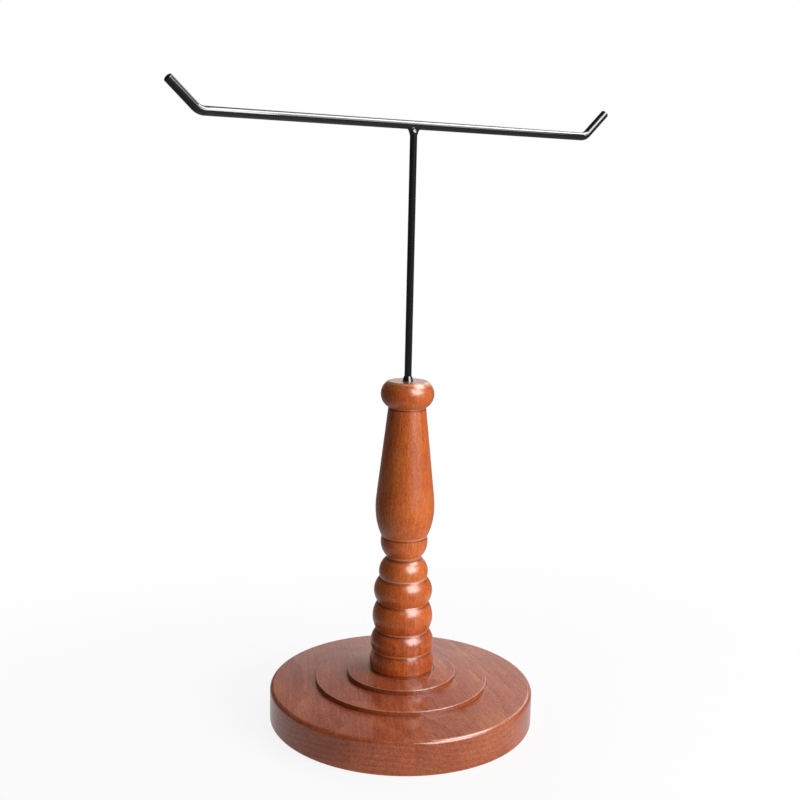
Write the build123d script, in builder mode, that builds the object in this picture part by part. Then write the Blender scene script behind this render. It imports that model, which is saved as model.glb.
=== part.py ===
from build123d import *
from math import cos, radians, sin
import os

os.makedirs("parts", exist_ok=True)

# A free-standing T-bar stand: a stepped round base, a turned post and a bent steel T-bar.
# Millimetres. The origin is the middle of the rest face, +Z is up, and the crossbar lies along X.

# Base: a turned disc, glued up from two boards
base_radius = 80.0
rim_height = 20.4  # where the top begins at the edge, above the rest face
rim_round = 2.5
underside_round = 0.6
outer_step_radius = 52.4
inner_step_radius = 33.2
step_rise = 2.8
step_edge_round = 0.6
outer_tread_crown = 2.0  # how far each tread climbs from its outer edge inwards
middle_tread_crown = 1.4
inner_tread_crown = 1.6
board_joint_turn = 61.0  # degrees from the crossbar to the glue line between the boards

# Pad under the base, let into a shallow recess
pad_thickness = 1.5
pad_inset = 5.0
pad_recess = 1.1
pad_recess_clearance = 0.1

# Turned post, from its foot up. Each pair is a radius and its height above the foot
foot_radius = 19.1
bead_crests = [(19.5, 5.0), (19.1, 16.6), (18.1, 34.9), (17.6, 48.5), (14.75, 62.0)]
groove_bottoms = [(17.9, 12.0), (15.7, 24.7), (15.2, 42.2), (14.2, 57.4), (10.5, 69.6)]
neck_top = (10.5, 70.7)  # the uppermost groove has a narrow flat bottom, which ends here
collar_crest = (14.1, 79.4)
collar_edge = (13.7, 83.3)
vase_belly = (17.55, 98.5)
vase_shoulder = (17.3, 107.5)
vase_throat = (11.2, 161.7)
vase_foot_flare = 27.0  # degrees from the axis at which the vase leaves the collar
knob_crest = (15.8, 169.7)
knob_edge = (11.6, 177.2)

# The post's tenon in the base, and the screw that draws it down
tenon_radius = 10.0
tenon_length = 12.0
tenon_clearance = 0.1
tenon_end_gap = 0.5
screw_radius = 3.0
screw_length = 52.0
screw_point = 5.0
screw_clearance = 0.3
screw_head_radius = 6.0
screw_head_height = 3.6
recess_width = 1.4
recess_span = 6.4
recess_depth = 2.2
washer_radius = 9.0
washer_thickness = 1.5
counterbore_radius = 11.0
counterbore_depth = 8.0

# T-bar: two painted steel rods welded to a tee
upright_radius = 2.1  # a 4 mm rod with its paint
crossbar_radius = 2.5
crossbar_height = 354.7  # centre line above the rest face
bend_half_span = 131.9  # from the upright to where the centre lines of bar and arm meet
arm_length = 22.5
arm_angle = 42.0
bend_radius = 7.5
tip_round = 0.5
# Sections of the weld: depth under the crossbar's underside, then how far it spreads past the upright
# along the bar and across it
weld_sections = [(3.6, 0.1, 0.1), (1.7, 0.6, 0.3), (0.3, 1.6, 0.5), (-0.75, 2.7, 0.7)]

# Socket for the upright in the top of the post
socket_depth = 60.0
socket_clearance = 0.08
running_clearance = 0.05
bush_length = 15.0
bush_wall = 0.7
flange_overhang = 0.35
flange_height = 2.9
flange_lip = 0.25

# Heights above the rest face that follow from the sizes above
base_bottom = pad_thickness - pad_recess
outer_tread_top = rim_height + outer_tread_crown
middle_tread_low = outer_tread_top + step_rise
middle_tread_top = middle_tread_low + middle_tread_crown
inner_tread_low = middle_tread_top + step_rise
post_foot = inner_tread_low + inner_tread_crown
post_top = post_foot + knob_edge[1]
socket_bottom = post_top - socket_depth
tenon_bottom = post_foot - tenon_length
washer_seat = pad_thickness + counterbore_depth
screw_seat = washer_seat - washer_thickness

recess_radius = base_radius - pad_inset + pad_recess_clearance

bush_bore = upright_radius + running_clearance
bush_radius = bush_bore + bush_wall
flange_radius = bush_radius + flange_overhang


def on_post(point):
    """A radius and a height above the post's foot, as a point of its section."""
    return (point[0], post_foot + point[1])


def circles(piece, radius):
    """The circular edges of a piece that have this radius."""
    return piece.edges().filter_by(GeomType.CIRCLE).filter_by(lambda edge: abs(edge.radius - radius) < 0.01)


def make_board(side):
    """One of the two boards of the base: the whole turned disc, kept on one side of the glue line."""
    glue_plane = Plane(origin=(0, 0, 0), x_dir=(0, 0, 1), z_dir=Vector(0, 1, 0).rotate(Axis.Z, board_joint_turn))
    with BuildPart() as board:
        with BuildSketch(Plane.XZ):
            with BuildLine():
                Polyline(
                    (0, pad_thickness),
                    (recess_radius, pad_thickness),
                    (recess_radius, base_bottom),
                    (base_radius, base_bottom),
                    (base_radius, rim_height),
                    (outer_step_radius, outer_tread_top),
                    (outer_step_radius, middle_tread_low),
                    (inner_step_radius, middle_tread_top),
                    (inner_step_radius, inner_tread_low),
                    (foot_radius, post_foot),
                    (0, post_foot),
                    close=True,
                )
            make_face()
        revolve(axis=Axis.Z)
        fillet(circles(board, base_radius).sort_by(Axis.Z)[-1], rim_round)
        fillet(circles(board, base_radius).sort_by(Axis.Z)[0], underside_round)
        fillet(circles(board, outer_step_radius).sort_by(Axis.Z)[-1], step_edge_round)
        fillet(circles(board, inner_step_radius).sort_by(Axis.Z)[-1], step_edge_round)
        with Locations((0, 0, post_foot)):
            Hole(radius=tenon_radius + tenon_clearance, depth=tenon_length + tenon_end_gap)
        with Locations(Plane(origin=(0, 0, pad_thickness), z_dir=(0, 0, -1))):
            CounterBoreHole(
                radius=screw_radius + screw_clearance,
                counter_bore_radius=counterbore_radius,
                counter_bore_depth=counterbore_depth,
                depth=post_foot - pad_thickness,
            )
        split(bisect_by=glue_plane, keep=side)
    return board.part


base_board_left = make_board(Keep.TOP)
base_board_left.label = "base_board_left"
export_step(base_board_left, "parts/base_board_left.step")

base_board_right = make_board(Keep.BOTTOM)
base_board_right.label = "base_board_right"
export_step(base_board_right, "parts/base_board_right.step")


# Pad: one soft disc that also covers the screw
with BuildPart() as underside_pad:
    with BuildSketch(Plane.XY):
        Circle(base_radius - pad_inset)
    extrude(amount=pad_thickness)
underside_pad.part.label = "underside_pad"
export_step(underside_pad.part, "parts/underside_pad.step")


# Post: beads between sharp grooves, a waisted collar, a long vase and a knob, turned in one piece
with BuildPart() as post:
    with BuildSketch(Plane.XZ):
        with BuildLine():
            Polyline(
                (0, socket_bottom),
                (0, tenon_bottom),
                (tenon_radius, tenon_bottom),
                (tenon_radius, post_foot),
                (foot_radius, post_foot),
            )
            lower = (foot_radius, post_foot)
            for crest, groove in zip(bead_crests, groove_bottoms):
                ThreePointArc(lower, on_post(crest), on_post(groove))
                lower = on_post(groove)
            neck = Line(lower, on_post(neck_top))
            ThreePointArc(neck @ 1, on_post(collar_crest), on_post(collar_edge))
            taper = Line(on_post(vase_shoulder), on_post(vase_throat))
            flare = (sin(radians(vase_foot_flare)), cos(radians(vase_foot_flare)))
            Spline(on_post(collar_edge), on_post(vase_belly), taper @ 0, tangents=[flare, taper % 0])
            ThreePointArc(taper @ 1, on_post(knob_crest), on_post(knob_edge))
            Polyline(on_post(knob_edge), (0, post_top), (0, socket_bottom))
        make_face()
    revolve(axis=Axis.Z)
    with Locations((0, 0, post_top)):
        CounterBoreHole(
            radius=upright_radius + socket_clearance,
            counter_bore_radius=bush_radius + running_clearance,
            counter_bore_depth=bush_length,
            depth=socket_depth,
        )
    with Locations(Plane(origin=(0, 0, tenon_bottom), z_dir=(0, 0, -1))):
        Hole(radius=screw_radius, depth=screw_seat + screw_length - tenon_bottom)
post.part.label = "post"
export_step(post.part, "parts/post.step")


# Screw: drawn up through the base and the tenon into the post
with BuildPart() as post_screw:
    with BuildSketch(Plane.XZ):
        with BuildLine():
            Polyline(
                (0, screw_seat - screw_head_height),
                (screw_head_radius, screw_seat - screw_head_height),
                (screw_head_radius, screw_seat),
                (screw_radius, screw_seat),
                (screw_radius, screw_seat + screw_length - screw_point),
                (0, screw_seat + screw_length),
                close=True,
            )
        make_face()
    revolve(axis=Axis.Z)
    fillet(circles(post_screw, screw_head_radius).sort_by(Axis.Z)[0], screw_head_height / 3)
    with BuildSketch(Plane.XY.offset(screw_seat - screw_head_height)):
        Rectangle(recess_span, recess_width)
        Rectangle(recess_width, recess_span)
    extrude(amount=recess_depth, mode=Mode.SUBTRACT)
post_screw.part.label = "post_screw"
export_step(post_screw.part, "parts/post_screw.step")


# Washer under the screw head
with BuildPart() as screw_washer:
    with BuildSketch(Plane.XY.offset(screw_seat)):
        Circle(washer_radius)
        Circle(screw_radius + screw_clearance, mode=Mode.SUBTRACT)
    extrude(amount=washer_thickness)
screw_washer.part.label = "screw_washer"
export_step(screw_washer.part, "parts/screw_washer.step")


# Bush: a thin sleeve in the mouth of the socket, with a small cone round the rod
with BuildPart() as rod_bush:
    with BuildSketch(Plane.XZ):
        with BuildLine():
            Polyline(
                (bush_bore, post_top - bush_length),
                (bush_radius, post_top - bush_length),
                (bush_radius, post_top),
                (flange_radius, post_top),
                (bush_bore + flange_lip, post_top + flange_height),
                (bush_bore, post_top + flange_height),
                close=True,
            )
        make_face()
    revolve(axis=Axis.Z)
rod_bush.part.label = "rod_bush"
export_step(rod_bush.part, "parts/rod_bush.step")


# Upright: a straight rod that stands on the bottom of the socket and is coped to the crossbar
with BuildPart() as upright:
    with BuildSketch(Plane.XY.offset(socket_bottom)):
        Circle(upright_radius)
    extrude(amount=crossbar_height - socket_bottom)
    chamfer(circles(upright, upright_radius).sort_by(Axis.Z)[0], tip_round)
    with Locations((0, 0, crossbar_height)):
        Cylinder(crossbar_radius, 2 * bend_half_span, rotation=(0, 90, 0), mode=Mode.SUBTRACT)
upright.part.label = "upright"
export_step(upright.part, "parts/upright.step")


# Crossbar: one rod, both ends bent up
arm_run = arm_length * cos(radians(arm_angle))
arm_rise = arm_length * sin(radians(arm_angle))
with BuildPart() as crossbar:
    with BuildLine(Plane.XZ) as bar_line:
        FilletPolyline(
            (-bend_half_span - arm_run, crossbar_height + arm_rise),
            (-bend_half_span, crossbar_height),
            (bend_half_span, crossbar_height),
            (bend_half_span + arm_run, crossbar_height + arm_rise),
            radius=bend_radius,
        )
    with BuildSketch(Plane(origin=bar_line.line @ 0, z_dir=bar_line.line % 0)):
        Circle(crossbar_radius)
    sweep(path=bar_line.line)
    tips = circles(crossbar, crossbar_radius).sort_by(Axis.X)
    fillet([tips[0], tips[-1]], tip_round)
crossbar.part.label = "crossbar"
export_step(crossbar.part, "parts/crossbar.step")


# Weld: a fillet of weld metal that spreads from the upright along the underside of the crossbar
crossbar_underside = crossbar_height - crossbar_radius
with BuildPart() as tee_weld:
    for depth, along, across in weld_sections:
        with BuildSketch(Plane.XY.offset(crossbar_underside - depth)):
            Ellipse(upright_radius + along, upright_radius + across)
    loft()
    with Locations((0, 0, crossbar_height)):
        Cylinder(crossbar_radius, 2 * bend_half_span, rotation=(0, 90, 0), mode=Mode.SUBTRACT)
        Cylinder(upright_radius, crossbar_height, mode=Mode.SUBTRACT)
tee_weld.part.label = "tee_weld"
export_step(tee_weld.part, "parts/tee_weld.step")
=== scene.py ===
import math

import bpy
from mathutils import Matrix, Vector


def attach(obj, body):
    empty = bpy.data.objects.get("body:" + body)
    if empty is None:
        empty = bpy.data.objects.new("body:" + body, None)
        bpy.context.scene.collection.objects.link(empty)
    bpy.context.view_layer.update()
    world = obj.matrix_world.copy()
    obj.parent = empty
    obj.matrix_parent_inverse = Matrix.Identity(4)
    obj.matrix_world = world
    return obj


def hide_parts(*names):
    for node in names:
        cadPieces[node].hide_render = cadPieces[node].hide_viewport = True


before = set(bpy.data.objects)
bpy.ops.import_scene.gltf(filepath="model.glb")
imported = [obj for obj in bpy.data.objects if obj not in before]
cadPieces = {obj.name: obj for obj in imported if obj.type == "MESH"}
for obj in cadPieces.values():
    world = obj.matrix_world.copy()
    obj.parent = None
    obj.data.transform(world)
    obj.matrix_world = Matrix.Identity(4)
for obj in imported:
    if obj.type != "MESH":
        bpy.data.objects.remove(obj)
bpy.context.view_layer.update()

# T-bar stand of stained and lacquered wood with a black steel T-bar. Metres, +Z up, crossbar along X.
mm = 0.001
bpy.ops.object.select_all(action="DESELECT")
print("frame loaded:", len(cadPieces), "nodes")


def hexColour(code):
    # The sRGB curve, undone
    channels = [int(code[i:i + 2], 16) / 255 for i in (1, 3, 5)]
    linear = [c / 12.92 if c <= 0.04045 else ((c + 0.055) / 1.055) ** 2.4 for c in channels]
    return (*linear, 1.0)


def addNode(tree, kind, settings=None, links=None):
    # A setting is a socket's name or number, the stops of a colour ramp, or else a property of the node
    node = tree.nodes.new(kind)
    for key, value in (settings or {}).items():
        if key == "stops":
            ramp = node.color_ramp.elements
            while len(ramp) < len(value):
                ramp.new(0.5)
            for stop, (position, colour) in zip(ramp, value):
                stop.position = position
                stop.color = colour
        elif isinstance(key, int) or key in node.inputs:
            node.inputs[key].default_value = value
        else:
            setattr(node, key, value)
    for key, source in (links or {}).items():
        tree.links.new(source, node.inputs[key])
    return node


def newMaterial(name):
    material = bpy.data.materials.new(name)
    material.use_nodes = True
    return material, material.node_tree, material.node_tree.nodes["Principled BSDF"]


def setSockets(shader, values):
    for socket, value in values.items():
        shader.inputs[socket].default_value = value


def dress(piece, material):
    piece.data.materials.clear()
    piece.data.materials.append(material)


# Camera: the photograph's view, from the left front and a little above
cameraView = {
    "azimuth": -35.26,
    "distance": 665.4 * mm,
    "height": 312.7 * mm,
    "pitch": 9.89,
    "aimLeft": 0.25,
    "roll": 1.3,
    "lens": 51.58,
    "sensor": 36,
    "shift": (-0.0031, 0.0),
    "clip": (0.01, 50),
}
bpy.ops.object.camera_add()
camera = bpy.context.object
camera.name = "photoCamera"
turn = math.radians(cameraView["azimuth"])
standpoint = Vector((math.sin(turn), -math.cos(turn), 0)) * cameraView["distance"]
standpoint.z = cameraView["height"]
camera.matrix_world = (
    Matrix.Translation(standpoint)
    @ Matrix.Rotation(turn + math.radians(cameraView["aimLeft"]), 4, "Z")
    @ Matrix.Rotation(math.radians(90 - cameraView["pitch"]), 4, "X")
    @ Matrix.Rotation(math.radians(cameraView["roll"]), 4, "Z")
)
camera.data.lens = cameraView["lens"]
camera.data.sensor_width = cameraView["sensor"]
camera.data.shift_x, camera.data.shift_y = cameraView["shift"]
camera.data.clip_start, camera.data.clip_end = cameraView["clip"]
bpy.context.scene.camera = camera
bpy.context.scene.view_settings.view_transform = "Standard"
print("camera placed")


def aimed(azimuth, elevation, distance, target=(0, 0, 0)):
    a, e = math.radians(azimuth), math.radians(elevation)
    back = Vector((math.sin(a) * math.cos(e), -math.cos(a) * math.cos(e), math.sin(e)))
    return Vector(target) + back * distance, back.to_track_quat("Z", "Y")


# Lamps: a soft key, a weak light overhead and one behind give the colour. A softbox with a dimmer tail to its
# right, a panel over the crossbar and a glow behind give the highlights, and a side light gives both.
# "from" is the azimuth, the elevation and the distance from the target
lamps = {
    "key": {
        "from": (19, 12, 0.9), "target": (0, 0, 0.14), "size": (0.9, 0.6),
        "radiance": 6.5, "gives": ("colour",),
    },
    "top": {
        "from": (0, 85, 1.3), "target": (-0.08, 0.05, 0.1), "size": (1.1, 1.1),
        "radiance": 0.55, "gives": ("colour",),
    },
    "back": {
        "from": (172, 26, 0.55), "target": (0, 0, 0.1), "size": (0.5, 0.35),
        "radiance": 2.2, "gives": ("colour",),
    },
    "softbox": {
        "from": (9, 33, 3.0), "target": (0, 0, 0.12), "size": (2.0, 2.1),
        "radiance": 13.0, "gives": ("highlights",),
    },
    "tail": {
        "from": (37, 28, 3.0), "target": (0, 0, 0.12), "size": (0.9, 1.3),
        "radiance": 4.5, "gives": ("highlights",),
    },
    "side": {
        "from": (100, 50, 1.6), "target": (0, 0, 0.1), "size": (1.2, 1.0),
        "radiance": 1.15, "gives": ("colour", "highlights"),
    },
    "strip": {
        "from": (0, 90, 0.8), "target": (0.62, -0.36, 0.355), "size": (0.72, 0.64),
        "radiance": 16.0, "gives": ("highlights",),
    },
    "glow": {
        "from": (119, 26, 3.0), "target": (0, 0, 0.2), "size": (1.1, 0.8),
        "radiance": 2.6, "gives": ("highlights",),
    },
}
for name, light in lamps.items():
    bpy.ops.object.light_add(type="AREA")
    lamp = bpy.context.object
    lamp.name = name + "Light"
    lamp.location, rotation = aimed(*light["from"], light["target"])
    lamp.rotation_euler = rotation.to_euler()
    lamp.data.shape = "RECTANGLE"
    lamp.data.size, lamp.data.size_y = light["size"]
    lamp.data.energy = light["radiance"] * math.pi * light["size"][0] * light["size"][1]
    lamp.visible_camera = False
    lamp.visible_diffuse = "colour" in light["gives"]
    lamp.visible_glossy = "highlights" in light["gives"]

# Room: white to the camera and a dim fill. In gloss it is dark, with a lit backdrop behind the object.
# "backdropAt" is its azimuth and elevation, "backdropSpan" the cosines between its edge and its middle, and
# "horizonSpan" the heights between which the brighter band along the floor ends
room = {
    "white": "#ffffff",
    "fill": 0.06,
    "gloss": 0.05,
    "backdropGloss": 0.68,
    "backdropAt": (137, 14),
    "backdropSpan": (0.885, 0.985),
    "horizonGloss": 0.6,
    "horizonSpan": (0.165, 0.2),
}
world = bpy.data.worlds.new("paleStudio")
bpy.context.scene.world = world
world.use_nodes = True
tree = world.node_tree
tree.nodes.clear()
rays = addNode(tree, "ShaderNodeLightPath").outputs
towards = addNode(tree, "ShaderNodeTexCoord").outputs["Generated"]
behind = aimed(*room["backdropAt"], 1)[0]
facing = addNode(tree, "ShaderNodeVectorMath", {"operation": "DOT_PRODUCT", 1: behind}, {0: towards})
low, high = room["backdropSpan"]
lit = addNode(
    tree, "ShaderNodeMapRange",
    {"From Min": low, "From Max": high, "To Min": room["gloss"], "To Max": room["backdropGloss"]},
    {"Value": facing.outputs["Value"]},
)
height = addNode(tree, "ShaderNodeSeparateXYZ", {}, {0: towards}).outputs["Z"]
low, high = room["horizonSpan"]
band = addNode(
    tree, "ShaderNodeMapRange",
    {"From Min": low, "From Max": high, "To Min": room["horizonGloss"], "To Max": 0.0},
    {"Value": height},
)
lit = addNode(
    tree, "ShaderNodeMath", {"operation": "MULTIPLY_ADD"},
    {0: lit.outputs["Result"], 1: band.outputs["Result"], 2: lit.outputs["Result"]},
)
gloss = addNode(
    tree, "ShaderNodeMix", {"data_type": "FLOAT", 2: room["fill"]},
    {0: rays["Is Glossy Ray"], 3: lit.outputs[0]},
)
level = addNode(
    tree, "ShaderNodeMix", {"data_type": "FLOAT", 3: 1.0}, {0: rays["Is Camera Ray"], 2: gloss.outputs[0]},
)
backdrop = addNode(
    tree, "ShaderNodeBackground", {"Color": hexColour(room["white"])}, {"Strength": level.outputs[0]},
)
addNode(tree, "ShaderNodeOutputWorld", {}, {"Surface": backdrop.outputs[0]})

# Floor: card that takes a shadow only next to the object and is white further out. It lights the object from
# close by. "shine" is the share of plain white for each kind of ray: next to the object, further out, and
# the two distances between which it changes
floorCard = {
    "size": 8.0,
    "white": "#ffffff",
    "tint": "#6e6d6b",
    "shine": {
        "Is Camera Ray": (0.86, 1.0, (0.12, 0.45)),
        "Is Glossy Ray": (0.5, 0.12, (0.13, 0.3)),
        "Is Diffuse Ray": (0.46, 0.0, (0.1, 0.32)),
    },
}
bpy.ops.mesh.primitive_plane_add(size=floorCard["size"], location=(0, 0, 0))
floor = bpy.context.object
floor.name = "paleFloor"
material, tree, shader = newMaterial("paleStudioFloor")
rays = addNode(tree, "ShaderNodeLightPath").outputs
white = addNode(tree, "ShaderNodeEmission", {"Color": hexColour(floorCard["white"]), "Strength": 1.0})
tint = addNode(
    tree, "ShaderNodeMix",
    {"data_type": "RGBA", 6: hexColour(floorCard["tint"]), 7: hexColour(floorCard["white"])},
    {0: rays["Is Camera Ray"]},
)
card = addNode(tree, "ShaderNodeBsdfDiffuse", {}, {"Color": tint.outputs[2]})
place = addNode(tree, "ShaderNodeTexCoord").outputs["Object"]
reach = addNode(tree, "ShaderNodeVectorMath", {"operation": "LENGTH"}, {0: place})
shareSoFar = {}
for ray, (near, far, (low, high)) in floorCard["shine"].items():
    whiteness = addNode(
        tree, "ShaderNodeMapRange", {"From Min": low, "From Max": high, "To Min": near, "To Max": far},
        {"Value": reach.outputs["Value"]},
    )
    share = addNode(
        tree, "ShaderNodeMath", {"operation": "MULTIPLY_ADD", 2: 0.0},
        {0: rays[ray], 1: whiteness.outputs[0], **shareSoFar},
    )
    shareSoFar = {2: share.outputs[0]}
mixed = addNode(
    tree, "ShaderNodeMixShader", {}, {0: share.outputs[0], 1: card.outputs[0], 2: white.outputs[0]},
)
tree.nodes.remove(shader)
tree.links.new(mixed.outputs[0], tree.nodes["Material Output"].inputs["Surface"])
dress(floor, material)
print("studio lit")

# Wood: a close-grained hardwood, turned, stained red-brown and sprayed with clear lacquer.
# The eye gets fine pores and flecks along the grain, painted shade in the corners and grooves and painted
# highlights along the edges, and a clear film that mirrors over them. A size is along and across the grain
boardWood = {
    "pith": (0.0, 0.05, -0.16),
    "ringWidth": 3.4 * mm,
    "ringShare": 0.14,
    "poreSize": (3.2 * mm, 0.42 * mm),
    "fleckSize": (1.5 * mm, 0.55 * mm),
    "streakSize": (36 * mm, 1.6 * mm),
    "mottleSize": 26 * mm,
    "dark": "#6e2c17",
    "middle": "#a9502f",
    "light": "#c87049",
    "poreColour": "#552410",
    "paintedShadeColour": "#3c170b",
    "paintedHighlightColour": "#dba27c",
    "roughness": (0.34, 0.5),
    "poreDepth": 0.03 * mm,
    "filmRoughness": 0.14,
    # Lines of painted highlight (+1) and painted shade (-1): millimetres from the axis, half width
    "across": "radius",
    "lines": [
        (17.6, 1.5, -1), (19.9, 0.7, -1), (32.75, 0.3, 1), (33.3, 0.35, -1), (51.95, 0.3, 1),
        (52.5, 0.35, -1),
    ],
    "lineSpan": (0.0, 82.0),
}
# The right board is lighter, and one more line of painted shade darkens the outer edge of its rim and its
# side wall
rightBoardWood = {
    **boardWood,
    "pith": (0.0, -0.09, 0.14),
    "dark": "#78321a",
    "middle": "#b15735",
    "light": "#d07a50",
    "lines": [*boardWood["lines"], (80.0, 1.0, -0.35)],
}
postWood = {
    "pith": (0.11, 0.06, 0.0),
    "ringWidth": 3.0 * mm,
    "ringShare": 0.08,
    "poreSize": (3.0 * mm, 0.36 * mm),
    "fleckSize": (1.4 * mm, 0.5 * mm),
    "streakSize": (34 * mm, 1.3 * mm),
    "mottleSize": 20 * mm,
    "dark": "#8e3d16",
    "middle": "#ca6026",
    "light": "#dc7f3c",
    "poreColour": "#66260c",
    "paintedShadeColour": "#43180a",
    "paintedHighlightColour": "#f0bd94",
    "roughness": (0.32, 0.46),
    "poreDepth": 0.02 * mm,
    "filmRoughness": 0.24,
    # Millimetres above the rest face, half width
    "across": "height",
    "lines": [
        (31.6, 0.6, -1), (42.3, 0.7, -1), (43.3, 0.35, 1), (55.0, 0.7, -1), (56.0, 0.35, 1), (72.5, 0.7, -1),
        (73.5, 0.35, 1), (87.7, 0.7, -1), (88.7, 0.35, 1), (100.4, 0.8, -1), (101.9, 0.35, 1),
        (113.8, 0.5, -1), (114.7, 0.35, 1), (191.9, 0.6, -1), (192.9, 0.35, 1), (207.7, 0.45, 1),
    ],
    "lineSpan": (20.0, 220.0),
    # Painted shade: the post darkens towards its bottom. From and to which height, how much
    "foot": (42.0, 80.0, -0.2),
}
# What both woods share. "drunk" is how much stain each layer of the figure took up
stainAndLacquer = {
    "swaySize": 30 * mm,
    "swayReach": 3 * mm,
    "ringDistortion": 1.6,
    "layerRoughness": 0.55,
    "layerDetail": {"pore": 1.0, "fleck": 1.0, "streak": 2.0},
    "poreBand": (0.34, 0.46),
    "drunk": {"streak": 0.45, "fleck": 0.6, "mottle": 0.5},
    "drunkLess": -0.1,
    "toneStops": (0.38, 0.68, 1.0),
    "poreShare": 0.45,
    "paintedShadeShare": 0.9,
    "paintedHighlightShare": 0.8,
    "poreStrength": 0.6,
    "waveSize": 5 * mm,
    "fleckRelief": 0.12,
    "filmStrength": 0.3,
    "filmDepth": 0.05 * mm,
    "sockets": {
        "IOR": 1.5,
        "Specular IOR Level": 0.08,
        "Coat Weight": 1.0,
        "Coat IOR": 1.5,
    },
}
# In a line's level, 0 is painted shade in a corner, this is plain stain, and 1 is a painted highlight on an
# edge
plainStain = 0.5
# A wave texture of rings repeats after this length at a scale of 1
waveLength = 2 * math.pi / 20


# Thin lines of painted shade and painted highlight at the given radii or heights
def paintedLightLines(tree, place, look):
    low, high = look["lineSpan"]
    if look["across"] == "radius":
        flat = addNode(tree, "ShaderNodeVectorMath", {"operation": "MULTIPLY", 1: (1, 1, 0)}, {0: place})
        length = addNode(tree, "ShaderNodeVectorMath", {"operation": "LENGTH"}, {0: flat.outputs[0]})
        measure = length.outputs["Value"]
    else:
        measure = addNode(tree, "ShaderNodeSeparateXYZ", {}, {0: place}).outputs["Z"]
    along = addNode(
        tree, "ShaderNodeMapRange", {"From Min": low * mm, "From Max": high * mm}, {"Value": measure},
    ).outputs[0]
    # A ramp holds 32 stops, so the lines are shared between two, which both rest at plain stain
    middle = len(look["lines"]) // 2
    halves = []
    for part in (look["lines"][:middle], look["lines"][middle:]):
        levels = [(low, plainStain)]
        for centre, half, sense in part:
            levels.append((centre - half, plainStain))
            levels.append((centre, plainStain * (1 + sense)))
            levels.append((centre + half, plainStain))
        stops = [((at - low) / (high - low), (level, level, level, 1.0)) for at, level in sorted(levels)]
        halves.append(addNode(tree, "ShaderNodeValToRGB", {"stops": stops}, {"Fac": along}).outputs["Color"])
    both = addNode(tree, "ShaderNodeMath", {"operation": "ADD"}, {0: halves[0], 1: halves[1]})
    lines = addNode(tree, "ShaderNodeMath", {"operation": "SUBTRACT", 1: plainStain}, {0: both.outputs[0]})
    return lines.outputs[0]


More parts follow.
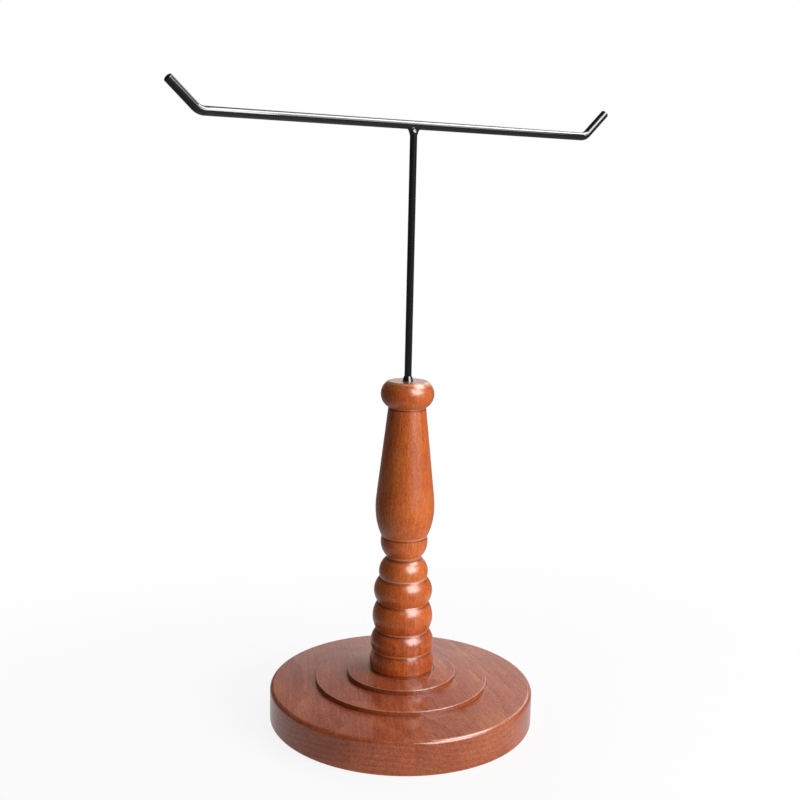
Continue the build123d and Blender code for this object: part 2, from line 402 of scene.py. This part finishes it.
def lacqueredWood(name, look, turned):
    common = stainAndLacquer
    material, tree, shader = newMaterial(name)
    place = addNode(tree, "ShaderNodeTexCoord").outputs["Object"]
    # Grain coordinates: x runs along the fibres, y and z across them, from the tree's pith
    grain = addNode(
        tree, "ShaderNodeMapping",
        {"vector_type": "TEXTURE", "Location": look["pith"], "Rotation": turned}, {"Vector": place},
    ).outputs[0]
    sway = addNode(
        tree, "ShaderNodeTexNoise", {"Scale": 1 / common["swaySize"], "Detail": 2.0}, {"Vector": grain},
    )
    swayed = addNode(
        tree, "ShaderNodeVectorMath",
        {"operation": "MULTIPLY_ADD", 1: (0, common["swayReach"], common["swayReach"])},
        {0: sway.outputs["Color"], 2: grain},
    )
    rings = addNode(
        tree, "ShaderNodeTexWave",
        {"wave_type": "RINGS", "rings_direction": "X", "wave_profile": "SAW",
         "Scale": waveLength / look["ringWidth"], "Distortion": common["ringDistortion"],
         "Detail": 2.0, "Detail Scale": 0.4},
        {"Vector": swayed.outputs[0]},
    )
    layers = {}
    for layer, detail in common["layerDetail"].items():
        along, across = look[layer + "Size"]
        stretched = addNode(
            tree, "ShaderNodeMapping", {"Scale": (1 / along, 1 / across, 1 / across)}, {"Vector": grain},
        )
        layers[layer] = addNode(
            tree, "ShaderNodeTexNoise",
            {"Scale": 1.0, "Detail": detail, "Roughness": common["layerRoughness"]},
            {"Vector": stretched.outputs[0]},
        ).outputs["Fac"]
    layers["mottle"] = addNode(
        tree, "ShaderNodeTexNoise", {"Scale": 1 / look["mottleSize"], "Detail": 2.0}, {"Vector": place},
    ).outputs["Fac"]
    low, high = common["poreBand"]
    pores = addNode(
        tree, "ShaderNodeMapRange", {"From Min": low, "From Max": high, "To Min": 1.0, "To Max": 0.0},
        {"Value": layers["pore"]},
    )
    # Rings, streaks, flecks and mottling add up to how much stain the wood drank
    tone = addNode(
        tree, "ShaderNodeMath",
        {"operation": "MULTIPLY_ADD", 1: look["ringShare"], 2: common["drunkLess"]},
        {0: rings.outputs["Fac"]},
    )
    for layer, share in common["drunk"].items():
        tone = addNode(
            tree, "ShaderNodeMath", {"operation": "MULTIPLY_ADD", 1: share},
            {0: layers[layer], 2: tone.outputs[0]},
        )
    # Painted shade: the post's tone is lowered towards its bottom
    if "foot" in look:
        low, high, least = look["foot"]
        height = addNode(tree, "ShaderNodeSeparateXYZ", {}, {0: place}).outputs["Z"]
        foot = addNode(
            tree, "ShaderNodeMapRange",
            {"From Min": low * mm, "From Max": high * mm, "To Min": least, "To Max": 0.0},
            {"Value": height},
        )
        tone = addNode(
            tree, "ShaderNodeMath", {"operation": "ADD"}, {0: tone.outputs[0], 1: foot.outputs[0]},
        )
    tones = [hexColour(look[shade]) for shade in ("dark", "middle", "light")]
    stain = addNode(
        tree, "ShaderNodeValToRGB", {"stops": list(zip(common["toneStops"], tones))},
        {"Fac": tone.outputs[0]},
    )
    poreShare = addNode(
        tree, "ShaderNodeMath", {"operation": "MULTIPLY", 1: common["poreShare"]}, {0: pores.outputs[0]},
    )
    colour = addNode(
        tree, "ShaderNodeMix", {"data_type": "RGBA", 7: hexColour(look["poreColour"])},
        {0: poreShare.outputs[0], 6: stain.outputs["Color"]},
    )
    lines = paintedLightLines(tree, place, look)
    # Painted shade darkens the corners and grooves, and painted highlights lighten the edges
    for line, full in (("paintedShade", 0.0), ("paintedHighlight", 1.0)):
        share = addNode(
            tree, "ShaderNodeMapRange",
            {"From Min": plainStain, "From Max": full, "To Min": 0.0, "To Max": common[line + "Share"]},
            {"Value": lines},
        )
        colour = addNode(
            tree, "ShaderNodeMix", {"data_type": "RGBA", 7: hexColour(look[line + "Colour"])},
            {0: share.outputs[0], 6: colour.outputs[2]},
        )
    tree.links.new(colour.outputs[2], shader.inputs["Base Color"])
    low, high = look["roughness"]
    rough = addNode(tree, "ShaderNodeMapRange", {"To Min": low, "To Max": high}, {"Value": layers["pore"]})
    tree.links.new(rough.outputs[0], shader.inputs["Roughness"])
    dent = addNode(
        tree, "ShaderNodeBump",
        {"Strength": common["poreStrength"], "Distance": look["poreDepth"], "invert": True},
        {"Height": pores.outputs[0]},
    )
    tree.links.new(dent.outputs[0], shader.inputs["Normal"])
    # The film levels over the pores: a slight wave, and the flecks telegraph through it
    wave = addNode(
        tree, "ShaderNodeTexNoise", {"Scale": 1 / common["waveSize"], "Detail": 2.0}, {"Vector": place},
    )
    relief = addNode(
        tree, "ShaderNodeMath", {"operation": "MULTIPLY_ADD", 1: common["fleckRelief"]},
        {0: layers["fleck"], 2: wave.outputs["Fac"]},
    )
    film = addNode(
        tree, "ShaderNodeBump", {"Strength": common["filmStrength"], "Distance": common["filmDepth"]},
        {"Height": relief.outputs[0]},
    )
    tree.links.new(film.outputs[0], shader.inputs["Coat Normal"])
    setSockets(shader, {**common["sockets"], "Coat Roughness": look["filmRoughness"]})
    return material


# Which way the grain runs: the boards along the base at these angles, the post upright
turnings = {
    "base_board_left": ("stainedLacqueredBoardLeft", boardWood, (0, 0, math.radians(61))),
    "base_board_right": ("stainedLacqueredBoardRight", rightBoardWood, (0, 0, math.radians(77))),
    "post": ("stainedLacqueredTurning", postWood, (0, math.radians(-90), 0)),
}
for node, (name, look, turned) in turnings.items():
    dress(cadPieces[node], lacqueredWood(name, look, turned))
print("wood finished")

# Paint: black gloss enamel sprayed on mild steel rod. Near black, with sharp reflections that waver slightly
enamel = {
    "peelSize": 2.5 * mm,
    "peelDepth": 0.003 * mm,
    "peelStrength": 0.5,
    "roughness": (0.32, 0.5),
    "sockets": {
        "Base Color": hexColour("#151517"),
        "IOR": 1.5,
        "Specular IOR Level": 0.05,
        "Coat Weight": 1.0,
        "Coat IOR": 1.6,
        "Coat Roughness": 0.04,
    },
}
blackEnamel, tree, shader = newMaterial("sprayedBlackEnamel")
place = addNode(tree, "ShaderNodeTexCoord").outputs["Object"]
peel = addNode(
    tree, "ShaderNodeTexNoise", {"Scale": 1 / enamel["peelSize"], "Detail": 2.0}, {"Vector": place},
)
orangePeel = addNode(
    tree, "ShaderNodeBump", {"Strength": enamel["peelStrength"], "Distance": enamel["peelDepth"]},
    {"Height": peel.outputs["Fac"]},
)
tree.links.new(orangePeel.outputs[0], shader.inputs["Normal"])
tree.links.new(orangePeel.outputs[0], shader.inputs["Coat Normal"])
low, high = enamel["roughness"]
dusty = addNode(tree, "ShaderNodeMapRange", {"To Min": low, "To Max": high}, {"Value": peel.outputs["Fac"]})
tree.links.new(dusty.outputs[0], shader.inputs["Roughness"])
setSockets(shader, enamel["sockets"])
for node in ("upright", "crossbar", "rod_bush"):
    dress(cadPieces[node], blackEnamel)
print("rods painted")

smoothBelow = math.radians(40)


def finishPiece(piece, body, slot, *replaced):
    bpy.ops.object.transform_apply(location=True, rotation=True, scale=True)
    bpy.ops.object.shade_smooth_by_angle(angle=smoothBelow)
    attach(piece, body)
    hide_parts(*replaced)


def roughen(piece, name, size, depth, midLevel):
    texture = bpy.data.textures.new(name, "CLOUDS")
    texture.noise_scale = size
    texture.noise_depth = 2
    modifier = piece.modifiers.new(name, "DISPLACE")
    modifier.texture = texture
    modifier.texture_coords = "LOCAL"
    modifier.strength = depth
    modifier.mid_level = midLevel
    bpy.ops.object.modifier_apply(modifier=name)


# Weld: a puddled fillet between the rods, under the same paint. Each section is a height over the crossbar's
# underside, then half its width along the bar and across it, all in millimetres
weldFillet = {
    "underside": 352.2 * mm,
    "sections": [
        (-3.7, 2.12, 2.12), (-2.8, 2.26, 2.4), (-2.0, 2.54, 2.6), (-1.4, 2.82, 2.45), (-0.8, 3.22, 2.16),
        (-0.1, 3.9, 2.08), (0.5, 4.5, 2.04), (1.1, 4.3, 2.0), (1.7, 3.4, 1.9), (2.3, 2.0, 1.6),
    ],
    "around": 40,
    "roundedLevels": 2,
    "puddleSize": 1.1 * mm,
    "puddleDepth": 0.05 * mm,
}
bpy.ops.object.select_all(action="DESELECT")
lowest, *others = weldFillet["sections"]
height, along, across = lowest
# A circle of 1 mm, so that the first resize is in millimetres and the next ones are ratios
bpy.ops.mesh.primitive_circle_add(
    vertices=weldFillet["around"], radius=1 * mm, fill_type="NGON",
    location=(0, 0, weldFillet["underside"] + height * mm),
)
weld = bpy.context.object
weld.name = "weldFillet"
bpy.ops.object.mode_set(mode="EDIT")
bpy.ops.mesh.select_all(action="SELECT")
bpy.ops.transform.resize(value=(along, across, 1))
for nextHeight, nextAlong, nextAcross in others:
    bpy.ops.mesh.extrude_region_move(TRANSFORM_OT_translate={"value": (0, 0, (nextHeight - height) * mm)})
    bpy.ops.transform.resize(value=(nextAlong / along, nextAcross / across, 1))
    height, along, across = nextHeight, nextAlong, nextAcross
bpy.ops.mesh.select_all(action="SELECT")
bpy.ops.mesh.normals_make_consistent(inside=False)
bpy.ops.object.mode_set(mode="OBJECT")
rounded = weld.modifiers.new("rounded", "SUBSURF")
rounded.levels = rounded.render_levels = weldFillet["roundedLevels"]
bpy.ops.object.modifier_apply(modifier="rounded")
bpy.ops.object.transform_apply(location=True, rotation=True, scale=True)
roughen(weld, "puddles", weldFillet["puddleSize"], weldFillet["puddleDepth"], 0.5)
dress(weld, blackEnamel)
finishPiece(weld, "t_bar", "black_paint", "tee_weld")
print("weld laid")

# Paint beads: the paint has drawn up into a low dome on each end of the crossbar. The sawn end is found as
# the vertices of the crossbar that reach furthest along its arm, within the "endBand"
paintBead = {
    "radius": 2.46 * mm,
    "rise": 1.1 * mm,
    "sunk": 0.5 * mm,
    "around": 48,
    "rings": 24,
    "armAngle": 42,
    "endBand": 0.02 * mm,
}
tilt = math.radians(90 - paintBead["armAngle"])
barPoints = [vertex.co.copy() for vertex in cadPieces["crossbar"].data.vertices]
for side, name in ((-1, "paintBeadLeft"), (1, "paintBeadRight")):
    armWay = Vector((side * math.sin(tilt), 0, math.cos(tilt)))
    sawnAt = max(point.dot(armWay) for point in barPoints) - paintBead["endBand"]
    onEnd = [point for point in barPoints if point.dot(armWay) > sawnAt]
    low = Vector(min(point[i] for point in onEnd) for i in range(3))
    high = Vector(max(point[i] for point in onEnd) for i in range(3))
    middle = (low + high) / 2 - armWay * paintBead["sunk"]
    bpy.ops.object.select_all(action="DESELECT")
    bpy.ops.mesh.primitive_uv_sphere_add(
        segments=paintBead["around"], ring_count=paintBead["rings"], radius=paintBead["radius"],
        location=middle, rotation=(0, side * tilt, 0),
    )
    bead = bpy.context.object
    bead.name = name
    bead.scale.z = paintBead["rise"] / paintBead["radius"]
    bpy.ops.object.transform_apply(location=True, rotation=True, scale=True)
    bpy.ops.object.mode_set(mode="EDIT")
    bpy.ops.mesh.select_all(action="SELECT")
    bpy.ops.mesh.bisect(plane_co=middle, plane_no=armWay, use_fill=True, clear_inner=True)
    bpy.ops.mesh.select_all(action="SELECT")
    bpy.ops.mesh.normals_make_consistent(inside=False)
    bpy.ops.object.mode_set(mode="OBJECT")
    dress(bead, blackEnamel)
    finishPiece(bead, "t_bar", "black_paint")
print("ends rounded")

# Screw and washer: steel, zinc plated and clear passivated. Pale blue-grey metal, slightly clouded
zinc = {
    "colour": "#b7bcc4",
    "cloudColour": "#9ea4ad",
    "cloudSize": 1.6 * mm,
    "roughness": (0.26, 0.42),
    "sockets": {"Metallic": 1.0},
}
zincSteel, tree, shader = newMaterial("zincPlatedSteel")
place = addNode(tree, "ShaderNodeTexCoord").outputs["Object"]
clouds = addNode(
    tree, "ShaderNodeTexNoise", {"Scale": 1 / zinc["cloudSize"], "Detail": 3.0}, {"Vector": place},
)
tint = addNode(
    tree, "ShaderNodeMix",
    {"data_type": "RGBA", 6: hexColour(zinc["colour"]), 7: hexColour(zinc["cloudColour"])},
    {0: clouds.outputs["Fac"]},
)
tree.links.new(tint.outputs[2], shader.inputs["Base Color"])
low, high = zinc["roughness"]
rough = addNode(tree, "ShaderNodeMapRange", {"To Min": low, "To Max": high}, {"Value": clouds.outputs["Fac"]})
tree.links.new(rough.outputs[0], shader.inputs["Roughness"])
setSockets(shader, zinc["sockets"])
for node in ("post_screw", "screw_washer"):
    dress(cadPieces[node], zincSteel)
print("screw plated")

# Pad: a die-cut disc of needled wool felt in a recess of the base. Matt black, a little uneven and fluffy
feltPad = {
    "radius": 74.9 * mm,
    "thickness": 1.46 * mm,
    "around": 180,
    "edgeRound": 0.3 * mm,
    "edgeSegments": 3,
    "flatWithin": 0.01 * mm,
    "ringStep": 3.3 * mm,
    "rings": 21,
    "swellSize": 9 * mm,
    "swellDepth": 0.14 * mm,
    "colour": "#16161a",
    "fluffColour": "#3a3a40",
    "fibreSize": (1.8 * mm, 0.16 * mm),
    "fibreTurns": (0.0, 1.05, 2.1),
    "fluffSize": 0.7 * mm,
    "fluffDepth": 0.12 * mm,
    "fluffStrength": 0.8,
    "fluffBand": (0.56, 0.72),
    "sockets": {
        "Roughness": 0.95,
        "Specular IOR Level": 0.2,
        "Sheen Weight": 0.35,
        "Sheen Roughness": 0.5,
    },
}
bpy.ops.object.select_all(action="DESELECT")
bpy.ops.mesh.primitive_cylinder_add(
    vertices=feltPad["around"], radius=feltPad["radius"], depth=feltPad["thickness"],
    location=(0, 0, feltPad["thickness"] / 2),
)
pad = bpy.context.object
pad.name = "feltPad"
bpy.ops.object.transform_apply(location=True, rotation=True, scale=True)
# Both rims are rounded, and then both faces get rings of faces to swell
for edge in pad.data.edges:
    a, b = (pad.data.vertices[i].co for i in edge.vertices)
    edge.select = abs(a.z - b.z) < feltPad["flatWithin"]
bpy.ops.object.mode_set(mode="EDIT")
bpy.ops.mesh.select_mode(type="EDGE")
bpy.ops.mesh.bevel(offset=feltPad["edgeRound"], segments=feltPad["edgeSegments"], profile=0.5)
bpy.ops.mesh.select_mode(type="FACE")
bpy.ops.object.mode_set(mode="OBJECT")
for face in pad.data.polygons:
    face.select = len(face.vertices) == feltPad["around"]
bpy.ops.object.mode_set(mode="EDIT")
for ring in range(feltPad["rings"]):
    bpy.ops.mesh.inset(thickness=feltPad["ringStep"], depth=0)
bpy.ops.mesh.poke()
bpy.ops.object.mode_set(mode="OBJECT")
roughen(pad, "swells", feltPad["swellSize"], feltPad["swellDepth"], 1.0)

feltCloth, tree, shader = newMaterial("needledBlackFelt")
place = addNode(tree, "ShaderNodeTexCoord").outputs["Object"]
along, across = feltPad["fibreSize"]
fibres = []
for turned in feltPad["fibreTurns"]:
    laid = addNode(
        tree, "ShaderNodeMapping",
        {"vector_type": "POINT", "Rotation": (0, 0, turned), "Scale": (1 / along, 1 / across, 1 / across)},
        {"Vector": place},
    )
    fibre = addNode(tree, "ShaderNodeTexNoise", {"Scale": 1.0, "Detail": 1.0}, {"Vector": laid.outputs[0]})
    fibres.append(fibre.outputs["Fac"])
crossed = addNode(tree, "ShaderNodeMath", {"operation": "MAXIMUM"}, {0: fibres[0], 1: fibres[1]})
crossed = addNode(tree, "ShaderNodeMath", {"operation": "MAXIMUM"}, {0: crossed.outputs[0], 1: fibres[2]})
fluff = addNode(
    tree, "ShaderNodeTexNoise", {"Scale": 1 / feltPad["fluffSize"], "Detail": 3.0}, {"Vector": place},
)
low, high = feltPad["fluffBand"]
fluffShare = addNode(
    tree, "ShaderNodeMapRange", {"From Min": low, "From Max": high}, {"Value": crossed.outputs[0]},
)
tint = addNode(
    tree, "ShaderNodeMix",
    {"data_type": "RGBA", 6: hexColour(feltPad["colour"]), 7: hexColour(feltPad["fluffColour"])},
    {0: fluffShare.outputs[0]},
)
tree.links.new(tint.outputs[2], shader.inputs["Base Color"])
relief = addNode(
    tree, "ShaderNodeMath", {"operation": "ADD"}, {0: crossed.outputs[0], 1: fluff.outputs["Fac"]},
)
nap = addNode(
    tree, "ShaderNodeBump", {"Strength": feltPad["fluffStrength"], "Distance": feltPad["fluffDepth"]},
    {"Height": relief.outputs[0]},
)
tree.links.new(nap.outputs[0], shader.inputs["Normal"])
setSockets(shader, feltPad["sockets"])
dress(pad, feltCloth)
finishPiece(pad, "stand", "felt", "underside_pad")
print("felt cut")
